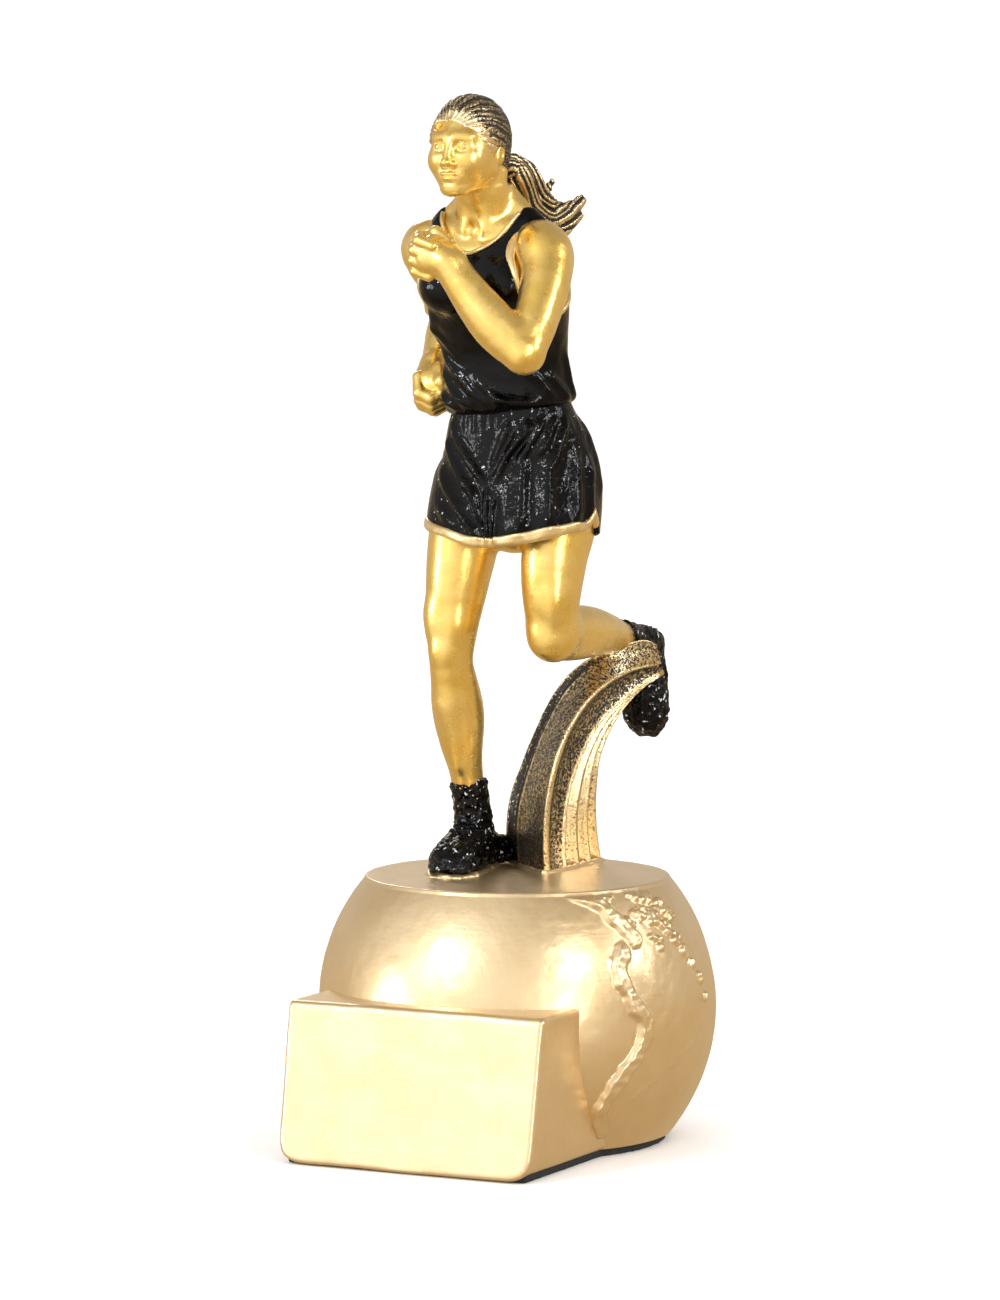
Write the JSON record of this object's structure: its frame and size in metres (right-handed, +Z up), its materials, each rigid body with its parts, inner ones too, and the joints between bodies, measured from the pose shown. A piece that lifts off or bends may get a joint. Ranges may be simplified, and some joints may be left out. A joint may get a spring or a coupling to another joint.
{
  "type": "figure trophy",
  "caption": "Cast trophy: an athlete running on a flat-topped globe, raised leg carried by a curved blade, with a block whose sloping face takes an engraved plate.",
  "frame": {"origin": "point on the shelf under the globe's vertical axis, at the underside of the felt pad", "axes": "+Z up; -Y towards the block's sloping face and the way the athlete runs; +X the athlete's left"},
  "size_m": [0.0768, 0.0901, 0.2],
  "materials": {
    "skin_gold": "glossy yellow metallic gold paint over cast resin, slightly uneven",
    "base_gold": "satin champagne metallic gold paint over cast resin with a fine brushed and pebbled skin",
    "antique_gold": "gold paint with black rubbed into the recesses",
    "gloss_black": "thick high-gloss black enamel over cast resin",
    "black_felt": "dense pressed felt",
    "plaster": "bare cast ballast",
    "steel": "plain steel rod"
  },
  "bodies": {
    "root": {"block_pin_left": "steel", "block_pin_right": "steel", "felt_pad": "black_felt", "globe_base": "base_gold", "hair": "antique_gold", "hair_tie": "antique_gold", "head": "skin_gold", "hem_band": "base_gold", "left_ankle_pin": "steel", "left_arm": "skin_gold", "left_fist": "skin_gold", "left_hip_pin": "steel", "left_leg": "skin_gold", "left_shoe": "gloss_black", "left_shoulder_pin": "steel", "left_wrist_pin": "steel", "neck_and_chest": "skin_gold", "neck_pin": "steel", "plaster_ballast": "plaster", "plate_block": "base_gold", "ponytail": "antique_gold", "ponytail_pin": "steel", "right_ankle_rod": "steel", "right_arm": "skin_gold", "right_fist": "skin_gold", "right_hip_pin": "steel", "right_leg": "skin_gold", "right_shoe": "gloss_black", "right_shoulder_pin": "steel", "right_wrist_pin": "steel", "shank_pin": "steel", "shorts": "gloss_black", "swoosh_pin_front": "steel", "swoosh_pin_rear": "steel", "swoosh_support": "antique_gold", "vest_torso": "gloss_black", "waist_pin": "steel"}
  },
  "joints": []
}
